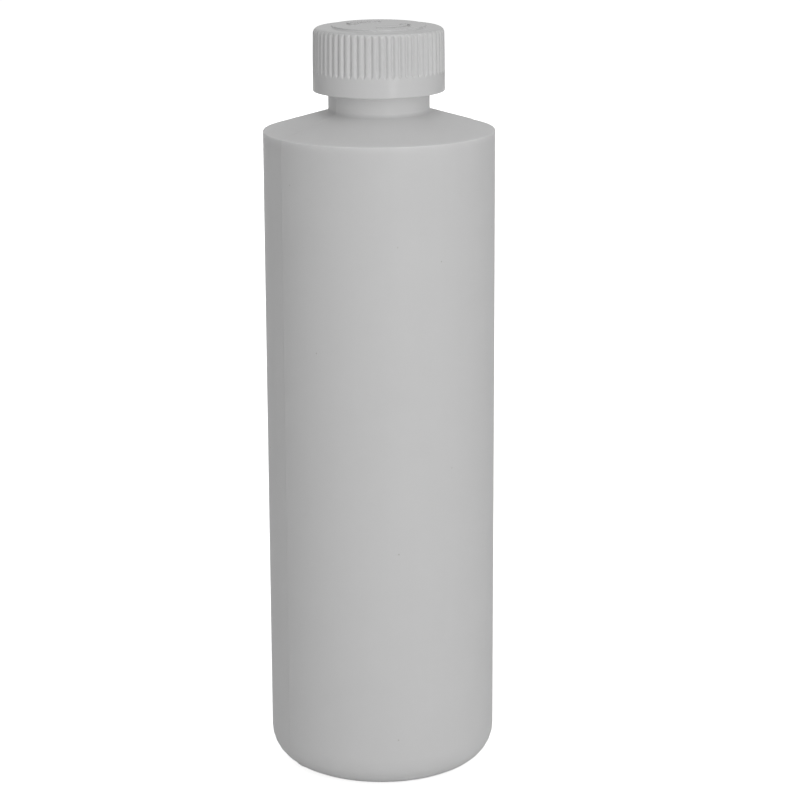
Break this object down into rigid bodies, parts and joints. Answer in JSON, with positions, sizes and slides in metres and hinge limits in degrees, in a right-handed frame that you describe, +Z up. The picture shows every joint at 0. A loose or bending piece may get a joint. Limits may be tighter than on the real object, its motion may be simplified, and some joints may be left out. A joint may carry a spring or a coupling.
{
  "type": "reagent bottle",
  "caption": "Round white plastic bottle with a sloping shoulder, short threaded neck and a ribbed push-and-turn closure that screws off, presses down and spins free.",
  "frame": {"origin": "centre of the standing ring, on the surface the bottle stands on", "axes": "+Z up along the bottle's axis; +X to the right and -Y towards the viewer in the picture"},
  "size_m": [0.063, 0.063, 0.208],
  "materials": {
    "bottle_plastic": "satin white polyethylene",
    "liner_foam": "white foam sheet",
    "inner_cap_plastic": "satin white polypropylene",
    "spring_plastic": "natural white plastic",
    "shell_plastic": "satin white polypropylene"
  },
  "bodies": {
    "bottle": {"bottle": "bottle_plastic"},
    "closure_liner": {"closure_liner": "liner_foam"},
    "inner_cap": {"inner_cap": "inner_cap_plastic"},
    "spring_ring": {"spring_ring": "spring_plastic"},
    "outer_shell": {"outer_shell": "shell_plastic"}
  },
  "joints": [
    {"name": "closure_rise", "type": "slide", "parent": "bottle", "child": "closure_liner", "axis": [0, 0, 1], "range_m": [0, 0.01694]},
    {"name": "closure_turn", "type": "hinge", "parent": "closure_liner", "child": "inner_cap", "pos_m": [0, 0, 0.198], "axis": [0, 0, 1], "range_deg": [0, 1440]},
    {"name": "shell_push", "type": "slide", "parent": "inner_cap", "child": "spring_ring", "axis": [0, 0, -1], "range_m": [0, 0.0012], "stiffness_N_per_m": 8000, "springref_m": -0.002, "deforming": ["spring_ring"]},
    {"name": "shell_spin", "type": "hinge", "parent": "spring_ring", "child": "outer_shell", "pos_m": [0, 0, 0.198], "axis": [0, 0, 1], "continuous": true}
  ],
  "couplings": [
    {"joint": "closure_rise", "follows": "closure_turn", "m_per_rad": 0.00067376}
  ]
}
